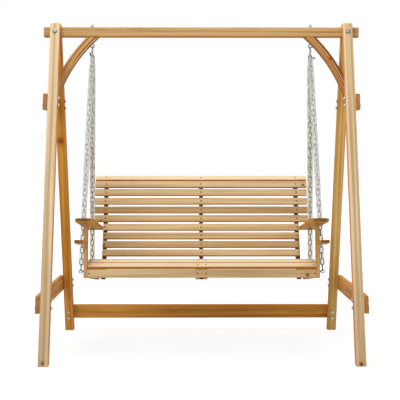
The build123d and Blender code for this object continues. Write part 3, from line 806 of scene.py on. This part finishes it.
# %% [markdown]
# ## Bolts of the stand
# Each joint of the stand has two bolts with domed heads outside and nuts inside. A dome on a washer catches
# one soft highlight, and a nut shows six flats with a stub of the bolt past it.

# %% Domed heads, washers and nuts
SINK = 0.0001  # how deep heads and nuts sit in their washers


def dome(radius, height):
    """A button head: straight rim, then a quarter ellipse."""
    t = np.linspace(0, np.pi / 2 * 0.97, 6)
    curve = np.stack([radius * np.cos(t), height * (0.25 + 0.75 * np.sin(t))], axis=1)
    return np.concatenate([[[radius, 0.0]], curve])


def washer(outer, thick):
    """A flat disc with its rims broken."""
    rim, top_rim = 0.0004, 0.0005
    return [[outer - rim, 0], [outer, rim], [outer, thick - rim], [outer - top_rim, thick]]


def six_sided(flats, height, upper=0.88):
    """A nut's profile, with corners turned down: its radius is the width over flats by root three."""
    r = flats / np.sqrt(3)
    return [[r * 0.9, 0], [r, 0.09 * height], [r, upper * height], [r * 0.88, height]]


def hex_nut(origin, axis, flats, height, stub, bore):
    """A nut, and the end of its bolt past it."""
    tip, cut = height + stub, 0.0008
    end = [[bore, 0], [bore, tip - cut], [bore - cut, tip]]
    return [turned(six_sided(flats, height), origin, axis, 6), turned(end, origin, axis, 14)]


# %% Bolts of the side boards and the back stretcher
HEAD, NUT = 0.005, 0.0065  # room for a head outside and for a nut inside
SIDE_WASHER = (0.0096, 0.0015)  # radius and thickness
SIDE_HEAD = (0.0076, 0.0046)  # radius and height
SIDE_NUT = (0.015, 0.0065, 0.0022, 0.0039)  # over flats, height, stub and radius of the bolt
bolt_rows = {
    "side_bolts": [(s, X * np.sign(s[:, 0].mean())) for s in solids("side_bolts")],
    "back_stretcher_bolts": [(s, back_out) for s in solids("back_stretcher_bolts")],
}
for node, row in bolt_rows.items():
    parts, washers = [], []
    for points, outward in row:
        inner, outer = span(points, outward)
        seat = middle_line(points, outward, outer - HEAD)
        low_seat = middle_line(points, outward, inner + NUT)
        raised = outward * (SIDE_WASHER[1] - SINK)
        washers.append(turned(washer(*SIDE_WASHER), seat, outward))
        washers.append(turned(washer(*SIDE_WASHER), low_seat, -outward))
        parts.append(turned(dome(*SIDE_HEAD), seat + raised, outward))
        parts += hex_nut(low_seat - raised, -outward, *SIDE_NUT)
    add_metal(node, parts, "stand", zinc, [node])
    add_metal(f"{node}_washers", washers, "stand", dark_zinc)
print("bolts drawn:", sum(len(row) for row in bolt_rows.values()))

# %% Long bolts of the beam
BEAM_WASHER = (0.013, 0.0016)
BEAM_HEAD = (0.0098, 0.0044)
BEAM_NUT = (0.013, 0.006, 0.003, 0.0039)
leg_out = unit((0.0, -leg_run[2], leg_run[1]))  # square to the front legs' faces
parts, washers = [], []
for points in solids("beam_bolts"):
    x, _, z = middle_of(points)
    for fore in (-1, 1):
        face = leg_out * (1, -fore, 1)
        spot = np.array([x, fore * (foot_reach - z * leg_run[1] / leg_run[2]), z])
        raised = spot + face * (BEAM_WASHER[1] - SINK)
        washers.append(turned(washer(*BEAM_WASHER), spot, face, 28))
        if fore < 0:
            parts.append(turned(dome(*BEAM_HEAD), raised, face, 24))
        else:
            parts += hex_nut(raised, face, *BEAM_NUT)
add_metal("beam_bolts", parts, "stand", bolt_zinc, ["beam_bolts"])
add_metal("beam_bolt_washers", washers, "stand", dark_zinc)
print("beam bolts drawn:", len(washers) // 2)

# %% [markdown]
# ## Eye bolts, quick links and chains
# An eye bolt is one length of wire with its end bent to a ring. The quick link is an oval of wire with a
# nut that closes its gap, and its bow swings on the ring. Links of chain stand crosswise in turn, so each
# link's place and plane are read from its own solid: its longest and second longest spread.

# %% Hangers
EYE_RADIUS, EYE_WIRE = 0.01, 0.0029
EYE_LOW = 0.003  # from the measured ring's lowest point to the middle of its wire
EYE_WASHER = (0.0095, 0.0014)
EYE_SHANK = 0.006  # how far it goes on over the beam, inside its cap nut
CAP_FLATS, CAP_BASE, CAP_OVER = 0.015, 0.008, 0.001
LINK_RADIUS, LINK_WIRE = 0.0135, 0.003
BARREL = ((0.0046, -0.009), (0.0053, -0.0082), (0.0053, 0.0082), (0.0046, 0.009))


def cap_nut(origin, axis, flats, base, height):
    """A six-sided base, then a turned cap: r = r0 (cos t)^0.8 at base + (height - base) sin t."""
    t = np.linspace(0, np.pi / 2 * 0.96, 8)
    cap = np.stack([0.86 * flats / 2 * np.cos(t) ** 0.8, base + (height - base) * np.sin(t)], axis=1)
    return [turned(six_sided(flats, base, 0.9), origin, axis, 6), turned(cap, origin, axis, 18)]


for side, _ in SIDES:
    low, high = np.array(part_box(f"eye_bolt_{side}"))
    ring = np.array([(low[0] + high[0]) / 2, 0.0, low[2] + EYE_RADIUS + EYE_LOW])
    neck = ring + Z * EYE_RADIUS
    parts = [wire_loops(oval(EYE_RADIUS, 0.0, 13)[:-1], ring, X, Z, EYE_WIRE, 12)]
    parts.append(turned([[EYE_WIRE, 0.0], [EYE_WIRE, beam_top + EYE_SHANK - neck[2]]], neck, Z, 14))
    add_metal(f"eye_bolt_{side}", parts, "stand", link_zinc, [f"eye_bolt_{side}"])
    top = np.array([ring[0], 0.0, beam_top])
    raised = top + Z * (EYE_WASHER[1] - SINK)
    parts = [turned(washer(*EYE_WASHER), top, Z)]
    parts += cap_nut(raised, Z, CAP_FLATS, CAP_BASE, high[2] - beam_top + CAP_OVER)
    add_metal(f"eye_cap_nut_{side}", parts, "stand", link_zinc)

    low, high = np.array(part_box(f"quick_link_{side}"))
    middle = (low + high) / 2
    half = (high[2] - low[2]) / 2 - LINK_RADIUS - LINK_WIRE
    parts = [wire_loops(oval(LINK_RADIUS, half, 14), middle, Y, Z, LINK_WIRE, 12)]
    parts.append(turned(BARREL, middle - Y * LINK_RADIUS, Z, 6))
    add_metal(f"quick_link_{side}", parts, "bench", link_zinc, [f"quick_link_{side}"])
print("eye bolts and links: 2 of each")

# %% Chains
CHAIN_WIRE = 0.0024
CHAIN_HALF_WIDTH = 0.0105
chain_lines, link_count = {}, 0
for row in ("front", "rear"):
    for side, _ in SIDES:
        node = f"chain_{row}_{side}"
        links = sorted(solids(node), key=lambda link: -middle_of(link)[2])
        centres = np.array([middle_of(link) for link in links])
        down = unit(centres[-1] - centres[0])
        spread = np.array([np.linalg.eigh(np.cov((link - link.mean(axis=0)).T))[1] for link in links])
        length = np.ptp(links[1] @ down)
        radius = CHAIN_HALF_WIDTH - CHAIN_WIRE
        flat = oval(radius, length / 2 - radius - CHAIN_WIRE, 6)
        points, faces = wire_loops(flat, centres, spread[:, :, 1], spread[:, :, 2], CHAIN_WIRE, 5)
        add_piece(node, points, faces, "bench", "chain_steel", chain_zinc, [node])
        top, bottom = centres[0] - down * (length / 2 - CHAIN_WIRE), centres[-1] + down * length / 2
        chain_lines[row, side] = (top, bottom, down)
        link_count += len(links)
print("chain links:", link_count)

# %% [markdown]
# ## Clear sleeves
# Each chain wears a soft tube that keeps hands off the links. At the top two tubes press on each other
# and flatten, so the tube is an ellipse whose half width towards its neighbour grows with the distance
# between the chains. Fine creases come from waves round and along it.

# %% Sleeves
SLEEVE_RADIUS = 0.0154
SLEEVE_ROWS, SLEEVE_SIDES = 150, 18
SLEEVE_NECK = 0.075  # over this length from the top the tube widens
SLEEVE_FLAT = 0.005  # half width towards the neighbour where both meet
SLEEVE_WAVE = 0.0006
SLEEVE_START, SLEEVE_SHORT = 0.004, 0.036  # gaps to the two ends of the chain


def sleeve(start, down, first, last, seed):
    """p = start + d t + a rx cos q + b ry sin q, with ry held back near the neighbour and waves on both."""
    rows = np.linspace(first, last, SLEEVE_ROWS)
    t, q = np.meshgrid(rows, angles(SLEEVE_SIDES), indexing="ij")
    a = unit(X - down * down[0])
    b = np.cross(down, a)
    neck = np.clip((t - first) / SLEEVE_NECK, 0, 1) ** 0.7
    wave = np.sin(3 * q + 61 * t + seed) * 0.35 + np.sin(2 * q - 143 * t + 2 * seed) * 0.35
    wave += np.sin(q + 260 * t + seed * 3) * 0.3
    rx = SLEEVE_RADIUS * (0.58 + 0.42 * neck) + wave * SLEEVE_WAVE
    room = SLEEVE_FLAT + t * abs(down[1]) * 0.93
    ry = np.minimum(SLEEVE_RADIUS + wave * SLEEVE_WAVE, room)
    aside = (rx * np.cos(q))[..., None] * a + (ry * np.sin(q))[..., None] * b
    points = start + t[..., None] * down + aside
    marks = np.stack([t, np.cos(q), np.sin(q)], axis=-1)
    return points.reshape(-1, 3), ring_faces(SLEEVE_ROWS, SLEEVE_SIDES).tolist(), marks.reshape(-1, 3)


for row, fore in (("front", -1), ("rear", 1)):
    parts, marks = [], []
    for side, hand in SIDES:
        start, end, down = chain_lines[row, side]
        last = (end - start) @ down - SLEEVE_SHORT
        *part, mark = sleeve(start, down, SLEEVE_START, last, 1.7 * hand + fore)
        parts.append(part)
        marks.append(mark)
    name = f"chain_sleeves_{row}"
    marks = np.concatenate(marks)
    add_piece(name, *gathered(parts), "bench", "clear_sleeve", films[row], [name], sleeve=marks)
print("sleeves: 4, of", SLEEVE_ROWS * SLEEVE_SIDES, "points each")

# %% [markdown]
# ## Sleeve ties
# A turn of dark wire gathers the tops of both sleeves under each quick link, and its twisted end sticks
# out. A twist is two thin tubes that run round one line, half a turn apart.

# %% Sleeve ties
TIE_WIRE, TWIST_TURNS = 0.0015, 2.5
TIE_RADIUS, TIE_STRAIGHT, TIE_ROOT = 0.0096, 0.003, 0.009
TIE_DROP = {"left": 0.008, "right": 0.014}
TIE_TAIL = {"left": (-0.014, 0.02), "right": (0.027, -0.005)}  # the twist's tip, in X and Z
for side, hand in SIDES:
    start = (chain_lines["front", side][0] + chain_lines["rear", side][0]) / 2
    centre = start - Z * TIE_DROP[side]
    root = X * hand * TIE_ROOT
    run = X * TIE_TAIL[side][0] + Z * TIE_TAIL[side][1] - root
    s = np.linspace(0, 1, 40)[:, None]
    turn = 2 * np.pi * TWIST_TURNS * s
    wide = TIE_WIRE * (1 + 2.2 * s**3)
    twist = wide * (np.cos(turn) * np.cross(unit(run), Y) + np.sin(turn) * Y)
    parts = [wire_loops(oval(TIE_RADIUS, TIE_STRAIGHT, 12), centre, X, Y, TIE_WIRE, 8)]
    parts += [tube(centre + root + run * s + sign * twist, TIE_WIRE, 8) for sign in (1, -1)]
    add_piece(f"sleeve_tie_{side}", *gathered(parts), "bench", "chain_steel", tie_wire)
print("sleeve ties: 2")

# %% [markdown]
# ## Eye bolts of the bench
# The chains end on four eye bolts through posts and seat supports, each with a nut on both sides.

# %% Lower eye bolts
LOW_EYE, LOW_WIRE, STANDOFF = 0.0085, 0.0024, 0.018
LOW_EDGE, LOW_TAIL = 0.0025, 0.0075  # from the ring's wire to its outside, and from the nut to the end
LOW_WASHER = (0.0085, 0.0014)
LOW_NUT = (0.01, 0.005, 0.0002, 0.0025)
low_bolts = solids("bench_eye_bolts")
parts = []
for points in low_bolts:
    outward = X * np.sign(points[:, 0].mean())
    inner, outer = span(points, outward)
    ring = middle_line(points, outward, outer - LOW_EYE - LOW_EDGE)
    face = ring - outward * STANDOFF
    back = middle_line(points, outward, inner + NUT)
    length = (ring - back) @ outward + LOW_TAIL
    parts.append(wire_loops(oval(LOW_EYE, 0.0, 11)[:-1], ring, X, square, LOW_WIRE, 10))
    parts.append(turned([[LOW_WIRE, LOW_EYE], [LOW_WIRE, length]], ring, -outward, 12))
    for spot, way in ((face, outward), (back, -outward)):
        parts.append(turned(washer(*LOW_WASHER), spot, way))
        parts += hex_nut(spot + way * (LOW_WASHER[1] - SINK), way, *LOW_NUT)
add_metal("bench_eye_bolts", parts, "bench", chain_zinc, ["bench_eye_bolts"])
print("lower eye bolts:", len(low_bolts))

# %% [markdown]
# ## Screws
# Countersunk screws with a cross recess hold every slat to the boards under it. The head is a shallow
# dome, and the recess is the same grid with four of its spokes pushed down.

# %% Slat screws
SCREW_RADIUS, SPOKES = 0.0048, 16
OUTWARD = Z - Y  # every slat faces up, to the front or between the two
RING_SHARES = np.array([1.0, 0.92, 0.62, 0.30, 0.10])[:, None]  # of the radius
RING_HEIGHTS = np.array([-0.0002, 0.00025, 0.00055, 0.00062, 0.00062])[:, None]


def screw_heads(spots, outs):
    """Heads on a polar grid: height = dome(r) - depth where r is small and the spoke is one of four."""
    t = angles(SPOKES)
    recess = np.where(np.arange(SPOKES) % 4 == 0, -0.0013, -0.0001)
    dip = np.where(RING_SHARES < 0.5, recess, 0.0)
    dip[-1] = -0.0014
    across, aside = (SCREW_RADIUS * RING_SHARES * wave for wave in (np.cos(t), np.sin(t)))
    outs = outs[:, None, None]
    points = spots[:, None, None] + across[..., None] * X + aside[..., None] * np.cross(X, outs)
    points = points + (RING_HEIGHTS + dip)[..., None] * outs
    rows = len(RING_SHARES)
    bottom = list(range((rows - 1) * SPOKES, rows * SPOKES))
    faces = ring_faces(rows, SPOKES)[:, ::-1].tolist() + [bottom[::-1]]
    return gathered([(head.reshape(-1, 3), faces) for head in points])


def slat_screws(name, over):
    """Spots on the outward face of a slat, over the middles of some boards, with the face's direction."""
    loop = end_loops(name, X)[0][0]
    out = np.cross(X, slat_width(name))
    out = out * np.sign(out @ OUTWARD)
    centre = loop.mean(axis=0) * (0, 1, 1)
    spot = centre + out * (span(loop, out)[1] - centre @ out)
    places = [middle_of(np.array(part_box(below)))[0] for below in over]
    return np.array([spot + X * x for x in places]), np.tile(out, (len(places), 1))


rows = [slat_screws(name, SUPPORTS) for name in SEAT_SLATS]
rows += [slat_screws(name, STILES) for name in BACK_SLATS]
rows.append(slat_screws("front_apron", SUPPORTS))
spots, outs = (np.concatenate(part) for part in zip(*rows))
add_piece("slat_screws", *screw_heads(spots, outs), "bench", "zinc_steel", screw_zinc)
print("slat screws:", len(spots))

# %% [markdown]
# ## Light and ground
# A pale floor and a white world stand for the studio. Camera, mirrors and clear plastic see plain white,
# while the object is lit by soft lamps, a large one high on the left, a weaker one on the right and one
# overhead, and by the world's even light. The floor still takes the object's shadow.


# %% Lamps
def lamp(name, place, size, watts, colour):
    """A round soft lamp that looks at the middle of the object."""
    data = bpy.data.lights.new(name, "AREA")
    data.shape, data.size, data.energy, data.color = "DISK", size, watts, colour
    made = bpy.data.objects.new(name, data)
    aim = (MIDDLE - Vector(place)).to_track_quat("-Z", "Y").to_matrix().to_4x4()
    made.matrix_world = Matrix.Translation(place) @ aim
    scene.collection.objects.link(made)


MIDDLE = Vector((0.0, 0.0, 0.8))
lamp("key", (-4.2, -5.8, 4.4), 4.0, 205.0, (1.0, 0.985, 0.96))
lamp("fill", (3.4, -3.4, 2.0), 3.0, 13.0, (1.0, 0.99, 0.98))
lamp("top", (0.0, -0.4, 4.6), 3.2, 130.0, (1.0, 0.995, 0.985))
print("lamps:", len(bpy.data.lights))

# %% World and floor
WHITE = (1.0, 1.0, 1.0, 1.0)
DAYLIGHT = (1.0, 0.98, 0.95, 1.0)
FLOOR_REACH = 30.0


def seen_plainly(graph):
    """1 for what the camera sees, also in metal and through clear film; 0 for what lights the object."""
    rays = ("Is Camera Ray", "Is Glossy Ray", "Is Transmission Ray")
    seen, mirrored, through = graph.node("LightPath", out=rays)
    return seen.apply("MAXIMUM", mirrored).apply("MAXIMUM", through)


scene.world = bpy.data.worlds.new("studio")
scene.world.use_nodes = True
sky = Graph(scene.world.node_tree)
lit = sky.node("Background", {}, {"Color": DAYLIGHT, "Strength": 0.30})
white = sky.node("Background", {}, {"Color": WHITE, "Strength": 1.0})
sky.close(sky.node("MixShader", {}, {0: seen_plainly(sky), 1: lit, 2: white}), "World Output")

ground = Finish("studio_floor")
ground.set(Base_Color=(0.86, 0.86, 0.86, 1.0), Roughness=0.9, Specular_IOR_Level=0.1)
matt = Sock(ground, ground.shader.outputs[0])
glow = ground.node("Emission", {}, {"Color": WHITE, "Strength": 1.2})
away = ground.node("VectorMath", {"operation": "LENGTH"}, {0: ground.place()}, "Value")
share = seen_plainly(ground) * (0.70 + ground.step(away, 0.9, 2.4) * 0.30)
ground.close(ground.node("MixShader", {}, {0: share, 1: matt, 2: glow}), "Material Output")

floor_mesh = bpy.data.meshes.new("studio_floor")
corners = [(-1, -1, 0), (1, -1, 0), (1, 1, 0), (-1, 1, 0)]
floor_mesh.from_pydata(np.array(corners) * FLOOR_REACH, [], [(0, 1, 2, 3)])
floor_mesh.materials.append(ground.material)
floor = bpy.data.objects.new("studio_floor", floor_mesh)
scene.collection.objects.link(floor)
print("floor in m:", 2 * FLOOR_REACH)
